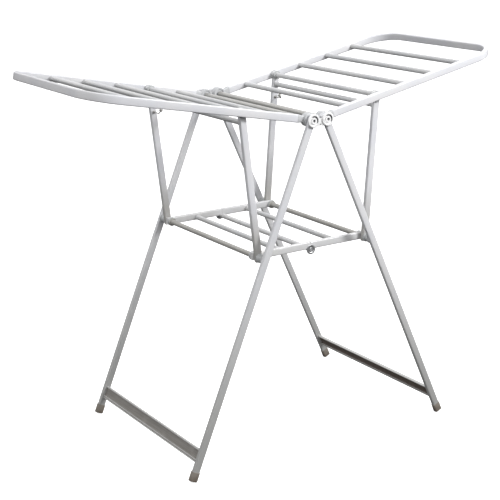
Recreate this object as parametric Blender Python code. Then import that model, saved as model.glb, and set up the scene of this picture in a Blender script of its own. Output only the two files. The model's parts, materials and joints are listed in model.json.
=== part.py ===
"""A folding clothes drying rack. Two leg frames and two wings turn on a double hinge, a strut frame props each
wing, and a shelf of rods that folds in its middle ties the legs. X runs across the wings, Y along the rods, Z up."""

import math

import bmesh
import bpy
from mathutils import Vector

# Overall sizes, in metres.
HINGE_HEIGHT = 0.905
HINGE_HALF_GAP = 0.022
FOOT_HALF_SPREAD = 0.412
LEG_PLANE = 0.2795
WING_LENGTH = 0.6176
WING_RISE = math.radians(11.37)
WING_CORNER = 0.085
SHELF_HEIGHT = 0.5578

# Tubes and rods.
TUBE_THICK = 0.012
TUBE_DEPTH = 0.020
WING_DEPTH = 0.0215
TUBE_CORNER = 0.003
WALL = 0.0007
ROD_RADIUS = 0.007
HINGE_RADIUS = 0.007
FIRST_ROD = 0.0942
ROD_PITCH = 0.0984
ROD_COUNT = 5
PROPPED_ROD = 2

# Clearances between neighbours.
SEAM = 0.0003
WING_GAP = 0.007
STRUT_GAP = 0.004
SHELF_GAP = 0.003

# Double hinge.
LINK_THICK = 0.0018
LINK_RADIUS = 0.0155
LINK_TOP_RISE = 0.005
LINK_WINDOW = (0.0078, 0.0125)
LINK_WINDOW_HALF_WIDTH = 0.0028
CAP_RADIUS = 0.018
CAP_THICK = 0.0036
CAP_GROOVE = (0.0085, 0.0128)
CAP_GROOVE_DEPTH = 0.0026
CAP_HOLE_RADIUS = 0.0037
CAP_HOLE_DEPTH = 0.0020
CAP_EDGE = 0.0010
CAP_PLUG_LENGTH = 0.010
LEG_OVERRUN = 0.0115

# Wing sockets.
SOCKET_FACE = 0.0020
SOCKET_REACH = 0.034
SOCKET_NECK = 0.0175
SOCKET_PLUG_LENGTH = 0.022

# Feet and bottom bars.
FOOT_LENGTH = 0.026
FOOT_WALL = 0.0012
FOOT_FLOOR = 0.003
FOOT_FLAT_CUT = 0.0016
BAR_HEIGHT = 0.0633
BAR_DEPTH = 0.036
BAR_THICK = 0.008
BAR_TOP_LIP = 0.005
BAR_LOW_LIP = 0.009
BAR_RECESS = 0.003
BAR_RECESS_SLOPE = 0.001
BAR_GROOVE = 0.0012

# Pivots of the struts.
PIN_RADIUS = 0.004
PIN_HEAD_RADIUS = 0.0065
PIN_HEAD_THICK = 0.0012
PIN_TIP_RADIUS = 0.0028
PIN_TIP_LENGTH = 0.010
BOSS_RADIUS = 0.012
STRUT_OVERRUN = 0.011

# Strut tops.
SEAT_FLOOR = 0.0045
SEAT_CLEARANCE = 0.00035
SEAT_LIP_RISE = 0.003
SEAT_LIP_WALL = 0.0022
SEAT_RAMP = math.radians(13.5)
SEAT_PLUG_LENGTH = 0.016
SPOOL_RISE = 0.005
SPOOL_THICK = 0.0025
SPOOL_GAP = 0.0007
CROSS_ROD_DROP = 0.0273
BUSH_RISE = 0.002
BUSH_LENGTH = 0.006

# Catch hooks.
HOOK_DROP = 0.065
HOOK_REACH = 0.032
HOOK_BEND = 0.006
HOOK_UPTURN = 1.27
HOOK_WIRE = 0.0017
HOOK_BALL = 0.005
HOOK_PLATE = 0.0048
HOOK_PLATE_THICK = 0.0015

# Shelf.
SHELF_RAIL_RISE = 0.0015
SHELF_OVERRUN = 0.011
SHELF_BUTT_GAP = 0.0004
COLLAR_RISE = 0.005
COLLAR_LENGTH = 0.007
SPIGOT_RADIUS = 0.005
KNUCKLE_RADIUS = 0.0133
KNUCKLE_THICK = 0.0022

# Smoothness of the round work.
CORNER_STEPS = 3
ROD_SIDES = 20
ROUND_SIDES = 32
BEND_STEPS = 9

SIDES = {"left": -1, "right": 1}
ENDS = {"near": -1, "far": 1}

# Layers across the width, from the outside in. A layer is the centre plane of the tubes in it.
WING_PLANE = LEG_PLANE - TUBE_THICK - WING_GAP
STRUT_PLANE = WING_PLANE - TUBE_THICK - STRUT_GAP
SHELF_PLANE = STRUT_PLANE - TUBE_THICK - SHELF_GAP
HALF_TUBE = TUBE_THICK / 2
LEG_OUT = LEG_PLANE + HALF_TUBE
LEG_IN = LEG_PLANE - HALF_TUBE
WING_IN = WING_PLANE - HALF_TUBE
STRUT_OUT = STRUT_PLANE + HALF_TUBE
STRUT_IN = STRUT_PLANE - HALF_TUBE
SHELF_OUT = SHELF_PLANE + HALF_TUBE
SHELF_IN = SHELF_PLANE - HALF_TUBE
LINK_IN = LEG_OUT + SEAM
LINK_OUT = LINK_IN + LINK_THICK

# Working lines of the right half, as points in the X, Z plane. The left half mirrors them.
HINGE = Vector((HINGE_HALF_GAP, HINGE_HEIGHT))
LEG_LINE = (Vector((FOOT_HALF_SPREAD, 0)) - HINGE).normalized()
WING_LINE = Vector((math.cos(WING_RISE), math.sin(WING_RISE)))
PIVOT = HINGE + LEG_LINE * (HINGE_HEIGHT - SHELF_HEIGHT) / -LEG_LINE.y
PROP = HINGE + WING_LINE * (FIRST_ROD + ROD_PITCH * (PROPPED_ROD - 1))
STRUT_LINE = (PROP - PIVOT).normalized()
STRUT_LENGTH = (PROP - PIVOT).length
SHELF_RAIL_HEIGHT = SHELF_HEIGHT + SHELF_RAIL_RISE
MIDDLE = Vector((0, SHELF_RAIL_HEIGHT - TUBE_DEPTH / 2 - SEAM))


def clear_scene():
    for obj in list(bpy.data.objects):
        bpy.data.objects.remove(obj, do_unlink=True)


def new_collection(name):
    collection = bpy.data.collections.new(name)
    bpy.context.scene.collection.children.link(collection)
    return collection


def paint(obj, colour, roughness, metallic):
    """Gives the object a material of its own."""
    material = bpy.data.materials.new(obj.name)
    material.use_nodes = True
    shader = material.node_tree.nodes["Principled BSDF"]
    shader.inputs["Base Color"].default_value = (*colour, 1)
    shader.inputs["Roughness"].default_value = roughness
    shader.inputs["Metallic"].default_value = metallic
    obj.data.materials.append(material)


def enamel(obj):
    paint(obj, (0.78, 0.78, 0.80), 0.40, 0.15)


def bright_metal(obj):
    paint(obj, (0.60, 0.60, 0.58), 0.32, 0.90)


def white_plastic(obj):
    paint(obj, (0.88, 0.88, 0.88), 0.45, 0.0)


def brown_rubber(obj):
    paint(obj, (0.24, 0.21, 0.18), 0.75, 0.0)


def skin(name, loops, wrap, collection):
    """One closed surface over loops with equal counts. It wraps round to the first loop, or closes both ends."""
    shape = bmesh.new()
    rings = [[shape.verts.new(point) for point in loop] for loop in loops]
    pairs = list(zip(rings, rings[1:]))
    if wrap:
        pairs.append((rings[-1], rings[0]))
    else:
        shape.faces.new(rings[0])
        shape.faces.new(rings[-1])
    for first, second in pairs:
        count = len(first)
        for i in range(count):
            j = (i + 1) % count
            shape.faces.new((first[i], first[j], second[j], second[i]))
    bmesh.ops.recalc_face_normals(shape, faces=shape.faces)
    mesh = bpy.data.meshes.new(name)
    shape.to_mesh(mesh)
    shape.free()
    obj = bpy.data.objects.new(name, mesh)
    collection.objects.link(obj)
    return obj


def part(name, loops, wrap=False):
    return skin(name, loops, wrap, RACK)


def tool(name, loops, wrap=False):
    """A helper solid for a Boolean."""
    obj = skin(name, loops, wrap, TOOLS)
    obj.hide_render = True
    obj.display_type = "WIRE"
    return obj


def boolean(obj, other, operation):
    modifier = obj.modifiers.new(other.name, "BOOLEAN")
    modifier.operation = operation
    modifier.solver = "EXACT"
    modifier.object = other


def turn_on(obj, x, z):
    """Puts the object's origin on the axis along Y through x, z, and leaves its shape in place."""
    axis = Vector((x, 0, z))
    for vertex in obj.data.vertices:
        vertex.co -= axis
    obj.location = axis


def rounded(width, height, corner, steps=CORNER_STEPS):
    """Points of a rectangle with rounded corners."""
    points = []
    for quarter in range(4):
        middle_u = (width / 2 - corner) * (1 if quarter in (0, 3) else -1)
        middle_v = (height / 2 - corner) * (1 if quarter in (0, 1) else -1)
        for i in range(steps + 1):
            angle = math.pi / 2 * (quarter + i / steps)
            points.append((middle_u + corner * math.cos(angle), middle_v + corner * math.sin(angle)))
    return points


def arc(centre, radius, start, finish, steps):
    """Points of a round stretch from one angle to the other, both in radians."""
    angles = [start + (finish - start) * i / steps for i in range(steps + 1)]
    return [(centre[0] + radius * math.cos(a), centre[1] + radius * math.sin(a)) for a in angles]


def across(line):
    """The direction square to a line in the X, Z plane."""
    return Vector((line.y, -line.x))


def at(side, point, y):
    """A point of the working lines in space, on the given side."""
    return Vector((side * point.x, y, point.y))


def loop_across(side, point, line, y, outline):
    """An outline square to a line: its first size lies in the X, Z plane and its second along Y."""
    wide = across(line)
    return [at(side, point + wide * u, y + v) for u, v in outline]


def loop_along(side, point, line, y, outline):
    """An outline in the X, Z plane: its first size lies square to the line and its second along the line."""
    wide = across(line)
    return [at(side, point + wide * u + line * v, y) for u, v in outline]


def circle(x, z, radius, y, count):
    turns = [2 * math.pi * i / count for i in range(count)]
    return [Vector((x + radius * math.cos(a), y, z + radius * math.sin(a))) for a in turns]


def turned(x, z, profile, count, end=1):
    """Loops of a turned shape on the axis along Y through x, z. The profile is (radius, y) pairs."""
    return [circle(x, z, radius, end * y, count) for radius, y in profile]


def tube_loops(side, start, finish, line, y, depth):
    """A straight hollow tube, open at both ends."""
    outer = rounded(depth, TUBE_THICK, TUBE_CORNER)
    inner = rounded(depth - 2 * WALL, TUBE_THICK - 2 * WALL, TUBE_CORNER - WALL)
    return [
        loop_across(side, start, line, y, outer),
        loop_across(side, finish, line, y, outer),
        loop_across(side, finish, line, y, inner),
        loop_across(side, start, line, y, inner),
    ]


def plug_outline(depth):
    """The outline that slides into a tube."""
    slack = 2 * (WALL + SEAM)
    return rounded(depth - slack, TUBE_THICK - slack, TUBE_CORNER - WALL)


def drill(obj, name, x, z, radius, low, high):
    """A round hole along Y."""
    boolean(obj, tool(name, turned(x, z, [(radius, low), (radius, high)], ROD_SIDES)), "DIFFERENCE")


def hollow_rod(half_length, radius):
    """The profile of a rod rolled from tube, open at both ends."""
    return [
        (radius - WALL, -half_length),
        (radius, -half_length),
        (radius, half_length),
        (radius - WALL, half_length),
    ]


def mirrored(half_profile):
    """A profile along the whole rod, from its half beyond the middle."""
    return [(radius, -y) for radius, y in reversed(half_profile)] + half_profile


def hinge_tube(side_name, side):
    tube = part(
        f"hinge_tube_{side_name}",
        turned(side * HINGE.x, HINGE.y, hollow_rod(LINK_OUT, HINGE_RADIUS), ROD_SIDES),
        wrap=True,
    )
    turn_on(tube, side * HINGE.x, HINGE.y)
    bright_metal(tube)


def link_plate(end_name, end):
    """The plate that holds the two hinge tubes apart: low between them, with a three-sided window under its middle."""
    quarter_turn = math.pi / 2
    dip = math.asin(LINK_TOP_RISE / LINK_RADIUS)
    outline = arc((HINGE.x, 0), LINK_RADIUS, -quarter_turn, math.pi - dip, ROD_SIDES)
    outline += arc((-HINGE.x, 0), LINK_RADIUS, dip, 3 * quarter_turn, ROD_SIDES)
    faces = [[Vector((x, end * y, HINGE.y + z)) for x, z in outline] for y in (LINK_IN, LINK_OUT)]
    plate = part(f"link_plate_{end_name}", faces)
    for side_name, side in SIDES.items():
        low, high = sorted((end * (LINK_IN - LINK_THICK), end * (LINK_OUT + LINK_THICK)))
        hole = HINGE_RADIUS + SEAM
        drill(plate, f"link_hole_{side_name}_{end_name}", side * HINGE.x, HINGE.y, hole, low, high)
    boolean(plate, link_window(end_name, end), "DIFFERENCE")
    enamel(plate)


def link_window(end_name, end):
    """The solid of the window through a link plate."""
    top, bottom = LINK_WINDOW
    corners = [(0, -top), (-LINK_WINDOW_HALF_WIDTH, -bottom), (LINK_WINDOW_HALF_WIDTH, -bottom)]
    reaches = (LINK_IN - LINK_THICK, LINK_OUT + LINK_THICK)
    faces = [[Vector((x, end * y, HINGE.y + z)) for x, z in corners] for y in reaches]
    return tool(f"link_window_{end_name}", faces)


def grooved_face(y, edge_radius):
    """A round face that looks along +Y, with its ring groove, from its centre hole out."""
    inner, outer = CAP_GROOVE
    return [
        (CAP_HOLE_RADIUS, y - CAP_HOLE_DEPTH),
        (CAP_HOLE_RADIUS, y),
        (inner, y),
        (inner, y - CAP_GROOVE_DEPTH),
        (outer, y - CAP_GROOVE_DEPTH),
        (outer, y),
        (edge_radius - CAP_EDGE, y),
        (edge_radius, y - CAP_EDGE),
    ]


def hinge_cap(side_name, side, end_name, end):
    inside = LINK_OUT + SEAM
    plug = HINGE_RADIUS - WALL - SEAM
    profile = grooved_face(inside + CAP_THICK, CAP_RADIUS)
    profile += [(CAP_RADIUS, inside), (plug, inside), (plug, inside - CAP_PLUG_LENGTH)]
    cap = part(
        f"hinge_cap_{side_name}_{end_name}",
        turned(side * HINGE.x, HINGE.y, profile, ROUND_SIDES, end),
    )
    turn_on(cap, side * HINGE.x, HINGE.y)
    white_plastic(cap)


def foot_end():
    """Where the middle of a foot's square end lies, so that the corner it stands on is cut flat by the floor."""
    half = TUBE_DEPTH / 2 + SEAM + FOOT_WALL
    corner_height = half * LEG_LINE.x - FOOT_FLAT_CUT
    return HINGE + LEG_LINE * (HINGE_HEIGHT - corner_height) / -LEG_LINE.y


def leg(side_name, side, end_name, end):
    y = end * LEG_PLANE
    name = f"leg_{side_name}_{end_name}"
    top = HINGE - LEG_LINE * LEG_OVERRUN
    bottom = foot_end() - LEG_LINE * (FOOT_FLOOR + SEAM)
    tube = part(name, tube_loops(side, top, bottom, LEG_LINE, y, TUBE_DEPTH), wrap=True)
    low, high = y - TUBE_THICK, y + TUBE_THICK
    drill(tube, f"{name}_hinge_hole", side * HINGE.x, HINGE.y, HINGE_RADIUS + SEAM, low, high)
    drill(tube, f"{name}_pin_hole", side * PIVOT.x, PIVOT.y, PIN_RADIUS + SEAM, low, high)
    turn_on(tube, side * HINGE.x, HINGE.y)
    enamel(tube)


def foot(side_name, side, end_name, end):
    """A sleeve over the leg's end, with a floor under it and the corner that it stands on cut flat."""
    y = end * LEG_PLANE
    name = f"foot_{side_name}_{end_name}"
    bottom = foot_end()
    rim = bottom - LEG_LINE * FOOT_LENGTH
    floor = bottom - LEG_LINE * FOOT_FLOOR
    inner = rounded(TUBE_DEPTH + 2 * SEAM, TUBE_THICK + 2 * SEAM, TUBE_CORNER + SEAM)
    shell = 2 * (SEAM + FOOT_WALL)
    outer = rounded(TUBE_DEPTH + shell, TUBE_THICK + shell, TUBE_CORNER + SEAM + FOOT_WALL)
    sleeve = part(
        name,
        [
            loop_across(side, bottom, LEG_LINE, y, outer),
            loop_across(side, rim, LEG_LINE, y, outer),
            loop_across(side, rim, LEG_LINE, y, inner),
            loop_across(side, floor, LEG_LINE, y, inner),
        ],
    )
    reach = 2 * TUBE_DEPTH
    square = [(-reach, -reach), (reach, -reach), (reach, reach), (-reach, reach)]
    ground = [
        [Vector((side * bottom.x + u, y + v, z)) for u, v in square] for z in (-reach, 0)
    ]
    boolean(sleeve, tool(f"{name}_ground", ground), "DIFFERENCE")
    turn_on(sleeve, side * HINGE.x, HINGE.y)
    brown_rubber(sleeve)


def bottom_bar(side_name, side):
    """The bar between the legs near the floor, recessed on both faces."""
    middle = HINGE + LEG_LINE * (HINGE_HEIGHT - BAR_HEIGHT) / -LEG_LINE.y
    half_deep = BAR_DEPTH / 2
    half_thick = BAR_THICK / 2
    web = half_thick - BAR_RECESS
    recess_top = -half_deep + BAR_TOP_LIP
    recess_low = half_deep - BAR_LOW_LIP
    groove_at = half_deep - BAR_LOW_LIP / 2
    half_groove = BAR_GROOVE / 2
    one_face = [
        (half_thick, -half_deep),
        (half_thick, recess_top),
        (web, recess_top + BAR_RECESS_SLOPE),
        (web, recess_low - BAR_RECESS_SLOPE),
        (half_thick, recess_low),
        (half_thick, groove_at - half_groove),
        (half_thick - half_groove, groove_at),
        (half_thick, groove_at + half_groove),
        (half_thick, half_deep),
    ]
    outline = one_face + [(-u, v) for u, v in reversed(one_face)]
    half_length = LEG_IN - SEAM
    faces = [loop_along(side, middle, LEG_LINE, y, outline) for y in (-half_length, half_length)]
    bar = part(f"bottom_bar_{side_name}", faces)
    turn_on(bar, side * HINGE.x, HINGE.y)
    enamel(bar)


def strut_pivot(side_name, side, end_name, end):
    """The shouldered pin through leg and strut, flush outside. The left shelf half turns on the left pins' tips."""
    boss_in = STRUT_OUT + SEAM
    boss_out = LEG_IN - SEAM
    head_in = STRUT_IN - SEAM
    profile = [
        (PIN_HEAD_RADIUS, head_in - PIN_HEAD_THICK),
        (PIN_HEAD_RADIUS, head_in),
        (PIN_RADIUS, head_in),
        (PIN_RADIUS, boss_in),
        (BOSS_RADIUS, boss_in),
        (BOSS_RADIUS, boss_out),
        (PIN_RADIUS, boss_out),
        (PIN_RADIUS, LEG_OUT),
    ]
    if side < 0:
        tip = head_in - PIN_HEAD_THICK
        profile = [(PIN_TIP_RADIUS, tip - PIN_TIP_LENGTH), (PIN_TIP_RADIUS, tip)] + profile
    pin = part(
        f"strut_pivot_{side_name}_{end_name}",
        turned(side * PIVOT.x, PIVOT.y, profile, ROD_SIDES, end),
    )
    turn_on(pin, side * HINGE.x, HINGE.y)
    bright_metal(pin)


def wing_path():
    """Places along a wing frame from its near end to its far end: how far out, which y, and which way it faces."""
    straight_end = WING_LENGTH - WING_CORNER
    start = SOCKET_REACH + SEAM
    side_y = WING_PLANE - WING_CORNER
    places = [(start, -WING_PLANE, -math.pi / 2)]
    for i in range(BEND_STEPS + 1):
        angle = math.pi / 2 * (i / BEND_STEPS - 1)
        out = straight_end + WING_CORNER * math.cos(angle)
        places.append((out, WING_CORNER * math.sin(angle) - side_y, angle))
    places += [(out, -y, -angle) for out, y, angle in reversed(places)]
    return places


def wing_frame(side_name, side):
    """One tube bent round the wing's two rails and its end."""
    lift = Vector((-WING_LINE.y, WING_LINE.x))
    outer = rounded(TUBE_THICK, WING_DEPTH, TUBE_CORNER)
    inner = rounded(TUBE_THICK - 2 * WALL, WING_DEPTH - 2 * WALL, TUBE_CORNER - WALL)

    def loop_at(place, outline):
        out, y, angle = place
        return [
            at(
                side,
                HINGE + WING_LINE * (out + u * math.cos(angle)) + lift * v,
                y + u * math.sin(angle),
            )
            for u, v in outline
        ]

    places = wing_path()
    loops = [loop_at(place, outer) for place in places]
    loops += [loop_at(place, inner) for place in reversed(places)]
    frame = part(f"wing_frame_{side_name}", loops, wrap=True)
    turn_on(frame, side * HINGE.x, HINGE.y)
    enamel(frame)


def spooled_rod():
    """The profile of the propped rod: two flanges stand beside each strut."""
    spools = (
        (STRUT_IN - SPOOL_GAP - SPOOL_THICK, STRUT_IN - SPOOL_GAP),
        (STRUT_OUT + SPOOL_GAP, STRUT_OUT + SPOOL_GAP + SPOOL_THICK),
    )
    rim = ROD_RADIUS + SPOOL_RISE
    outside = []
    for low, high in spools:
        outside += [(ROD_RADIUS, low), (rim, low), (rim, high), (ROD_RADIUS, high)]
    half_length = WING_IN - SEAM
    bore = ROD_RADIUS - WALL
    return mirrored(outside + [(ROD_RADIUS, half_length), (bore, half_length)])


def wing_rod(side_name, side, number):
    place = HINGE + WING_LINE * (FIRST_ROD + ROD_PITCH * (number - 1))
    profile = spooled_rod() if number == PROPPED_ROD else hollow_rod(WING_IN - SEAM, ROD_RADIUS)
    rod = part(
        f"wing_rod_{side_name}_{number}",
        turned(side * place.x, place.y, profile, ROD_SIDES),
        wrap=True,
    )
    turn_on(rod, side * HINGE.x, HINGE.y)
    enamel(rod)


def wing_socket(side_name, side, end_name, end):
    """The barrel on the hinge tube, with a neck that plugs into the wing's rail."""
    y = end * WING_PLANE
    name = f"wing_socket_{side_name}_{end_name}"
    bore = HINGE_RADIUS + SEAM
    inside = WING_IN - SOCKET_FACE
    outside = LEG_IN - SEAM
    inner, outer = CAP_GROOVE
    profile = [
        (bore, inside),
        (inner, inside),
        (inner, inside + CAP_GROOVE_DEPTH),
        (outer, inside + CAP_GROOVE_DEPTH),
        (outer, inside),
        (CAP_RADIUS - CAP_EDGE, inside),
        (CAP_RADIUS, inside + CAP_EDGE),
        (CAP_RADIUS, outside),
        (bore, outside),
    ]
    barrel = part(name, turned(side * HINGE.x, HINGE.y, profile, ROUND_SIDES, end), wrap=True)
    root = (bore + CAP_RADIUS) / 2
    neck = rounded(SOCKET_NECK, TUBE_THICK, TUBE_CORNER)
    rim = rounded(WING_DEPTH, TUBE_THICK, TUBE_CORNER)
    plug = plug_outline(WING_DEPTH)
    stations = (
        (root, neck),
        (CAP_RADIUS, neck),
        (SOCKET_REACH, rim),
        (SOCKET_REACH, plug),
        (SOCKET_REACH + SOCKET_PLUG_LENGTH, plug),
    )
    loops = [
        loop_across(side, HINGE + WING_LINE * out, WING_LINE, y, outline) for out, outline in stations
    ]
    boolean(barrel, tool(f"{name}_neck", loops), "UNION")
    turn_on(barrel, side * HINGE.x, HINGE.y)
    white_plastic(barrel)


def strut_top():
    """How far up the strut its tube ends, under the seat's floor."""
    return STRUT_LENGTH - ROD_RADIUS - SEAT_CLEARANCE - SEAT_FLOOR


def strut(side_name, side, end_name, end):
    y = end * STRUT_PLANE
    name = f"strut_{side_name}_{end_name}"
    bottom = PIVOT - STRUT_LINE * STRUT_OVERRUN
    top = PIVOT + STRUT_LINE * strut_top()
    tube = part(name, tube_loops(side, bottom, top, STRUT_LINE, y, TUBE_DEPTH), wrap=True)
    hole = PIN_RADIUS + SEAM
    drill(tube, f"{name}_pin_hole", side * PIVOT.x, PIVOT.y, hole, y - TUBE_THICK, y + TUBE_THICK)
    turn_on(tube, side * PIVOT.x, PIVOT.y)
    enamel(tube)


def strut_seat(side_name, side, end_name, end):
    """The saddle that the propped rod rests in. It is open towards the hinge, so the rod lifts out that way."""
    y = end * STRUT_PLANE
    name = f"strut_seat_{side_name}_{end_name}"
    hollow = ROD_RADIUS + SEAT_CLEARANCE
    half_depth = TUBE_DEPTH / 2
    base = strut_top() + SEAM - STRUT_LENGTH
    lip_out = max(half_depth, hollow + SEAT_LIP_WALL)
    lip_angle = math.asin(SEAT_LIP_RISE / hollow)
    ramp_run = half_depth + hollow * math.sin(SEAT_RAMP)
    ramp_low = -hollow * math.cos(SEAT_RAMP) - ramp_run * math.tan(SEAT_RAMP)
    outline = [(-half_depth, base), (lip_out, base), (lip_out, SEAT_LIP_RISE)]
    outline += arc((0, 0), hollow, lip_angle, SEAT_RAMP - math.pi / 2, BEND_STEPS)
    outline.append((-half_depth, ramp_low))
    faces = [
        loop_along(side, PROP, STRUT_LINE, y + v, outline) for v in (-HALF_TUBE, HALF_TUBE)
    ]
    seat = part(name, faces)
    plug = plug_outline(TUBE_DEPTH)
    root = PIVOT + STRUT_LINE * (strut_top() + SEAT_FLOOR / 2)
    tip = PIVOT + STRUT_LINE * (strut_top() - SEAT_PLUG_LENGTH)
    loops = [loop_across(side, point, STRUT_LINE, y, plug) for point in (root, tip)]
    boolean(seat, tool(f"{name}_plug", loops), "UNION")
    turn_on(seat, side * PIVOT.x, PIVOT.y)
    white_plastic(seat)


def strut_rod(side_name, side):
    """The rod that ties the two struts, with a bush at each end."""
    place = PROP - STRUT_LINE * CROSS_ROD_DROP
    end_y = STRUT_IN - SEAM
    bush_y = end_y - BUSH_LENGTH
    bore = ROD_RADIUS - WALL
    bush = ROD_RADIUS + BUSH_RISE
    half = [(ROD_RADIUS, bush_y), (bush, bush_y), (bush, end_y), (bore, end_y)]
    loops = turned(side * place.x, place.y, mirrored(half), ROD_SIDES)
    rod = part(f"strut_rod_{side_name}", loops, wrap=True)
    turn_on(rod, side * PIVOT.x, PIVOT.y)
    enamel(rod)


def catch_hook(side_name, side):
    """A bent wire with a ball on its end, on the far strut: it holds the folded wing."""
    place = PROP - STRUT_LINE * HOOK_DROP
    end_y = STRUT_IN - SEAM
    bend_y = end_y - HOOK_REACH
    bend = HOOK_BEND
    spine = [(0, end_y, HOOK_PLATE), (0, end_y - HOOK_PLATE_THICK, HOOK_PLATE)]
    spine += [(0, end_y - HOOK_PLATE_THICK, HOOK_WIRE), (0, bend_y + bend, HOOK_WIRE)]
    loops = []
    for rise, y, radius in spine:
        loops.append(hook_loop(side, place, rise, y, 0, radius))
    for i in range(1, BEND_STEPS):
        angle = math.pi / 2 * i / BEND_STEPS
        rise = bend * (1 - math.cos(angle))
        loops.append(hook_loop(side, place, rise, bend_y + bend * (1 - math.sin(angle)), angle, HOOK_WIRE))
    start = math.asin(HOOK_WIRE / HOOK_BALL)
    ball_at = bend + HOOK_BALL * math.cos(start)
    for i in range(BEND_STEPS):
        angle = start + (math.pi - start) * i / BEND_STEPS
        rise = ball_at - HOOK_BALL * math.cos(angle)
        loops.append(hook_loop(side, place, rise, bend_y, math.pi / 2, HOOK_BALL * math.sin(angle)))
    hook = part(f"catch_hook_{side_name}", loops)
    turn_on(hook, side * PIVOT.x, PIVOT.y)
    bright_metal(hook)


def hook_loop(side, place, rise, y, angle, radius):
    """A ring round the hook's wire. The wire turns up and towards the hinge over a quarter turn."""
    upwards = (STRUT_LINE * HOOK_UPTURN - across(STRUT_LINE)).normalized()
    middle = place + upwards * rise
    ring = []
    for i in range(ROD_SIDES // 2):
        turn = 4 * math.pi * i / ROD_SIDES
        flat = radius * math.cos(turn)
        point = middle + upwards * flat * math.cos(angle) + across(upwards) * radius * math.sin(turn)
        ring.append(at(side, point, y + flat * math.sin(angle)))
    return ring


def shelf_axis(side):
    """The axis that a shelf half turns on: the left half on its leg, the right half on the middle hinge."""
    return (side * PIVOT.x, PIVOT.y) if side < 0 else (MIDDLE.x, MIDDLE.y)


def shelf_rail(side_name, side, end_name, end):
    y = end * SHELF_PLANE
    name = f"shelf_rail_{side_name}_{end_name}"
    line = Vector((1, 0))
    inner_end = Vector((SHELF_BUTT_GAP / 2, SHELF_RAIL_HEIGHT))
    outer_end = Vector((PIVOT.x + SHELF_OVERRUN, SHELF_RAIL_HEIGHT))
    tube = part(name, tube_loops(side, inner_end, outer_end, line, y, TUBE_DEPTH), wrap=True)
    low, high = y - TUBE_THICK, y + TUBE_THICK
    drill(tube, f"{name}_rod_hole", side * PIVOT.x, PIVOT.y, SPIGOT_RADIUS + SEAM, low, high)
    drill(tube, f"{name}_notch", MIDDLE.x, MIDDLE.y, ROD_RADIUS + SEAM, low, high)
    turn_on(tube, *shelf_axis(side))
    enamel(tube)


def shelf_end_rod(side_name, side):
    """The rod on the leg's pivot axis. Collars stand beside the rails, and its thin ends pass through them."""
    shoulder = SHELF_IN - SEAM
    collar = shoulder - COLLAR_LENGTH
    bore = PIN_TIP_RADIUS + SEAM
    rim = ROD_RADIUS + COLLAR_RISE
    half = [
        (ROD_RADIUS, collar),
        (rim, collar),
        (rim, shoulder),
        (SPIGOT_RADIUS, shoulder),
        (SPIGOT_RADIUS, SHELF_OUT),
        (bore, SHELF_OUT),
    ]
    loops = turned(side * PIVOT.x, PIVOT.y, mirrored(half), ROD_SIDES)
    rod = part(f"shelf_end_rod_{side_name}", loops, wrap=True)
    turn_on(rod, *shelf_axis(side))
    enamel(rod)


def shelf_rod(side_name, side):
    loops = turned(side * PIVOT.x / 2, SHELF_HEIGHT, hollow_rod(SHELF_IN - SEAM, ROD_RADIUS), ROD_SIDES)
    rod = part(f"shelf_rod_{side_name}", loops, wrap=True)
    turn_on(rod, *shelf_axis(side))
    enamel(rod)


def shelf_hinge_rod():
    """The rod that the two shelf halves fold about, with a round knuckle plate outside each pair of rails."""
    face = SHELF_OUT + SEAM
    out = face + KNUCKLE_THICK
    bore = ROD_RADIUS - WALL
    half = [(ROD_RADIUS, face), (KNUCKLE_RADIUS, face), (KNUCKLE_RADIUS, out), (bore, out)]
    rod = part("shelf_hinge_rod", turned(MIDDLE.x, MIDDLE.y, mirrored(half), ROD_SIDES), wrap=True)
    turn_on(rod, *shelf_axis(SIDES["left"]))
    enamel(rod)


def build():
    for end_name, end in ENDS.items():
        link_plate(end_name, end)
    for side_name, side in SIDES.items():
        hinge_tube(side_name, side)
        bottom_bar(side_name, side)
        wing_frame(side_name, side)
        for number in range(1, ROD_COUNT + 1):
            wing_rod(side_name, side, number)
        strut_rod(side_name, side)
        catch_hook(side_name, side)
        shelf_end_rod(side_name, side)
        shelf_rod(side_name, side)
        for end_name, end in ENDS.items():
            hinge_cap(side_name, side, end_name, end)
            leg(side_name, side, end_name, end)
            foot(side_name, side, end_name, end)
            strut_pivot(side_name, side, end_name, end)
            wing_socket(side_name, side, end_name, end)
            strut(side_name, side, end_name, end)
            strut_seat(side_name, side, end_name, end)
            shelf_rail(side_name, side, end_name, end)
    shelf_hinge_rod()


clear_scene()
RACK = new_collection("clothes_drying_rack")
TOOLS = new_collection("cutters")
build()
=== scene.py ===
"""The finished clothes drying rack: enamelled tubes, moulded hinge parts and rubber feet."""
import json
import math

import bmesh
import bpy
from mathutils import Matrix, Vector


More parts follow.
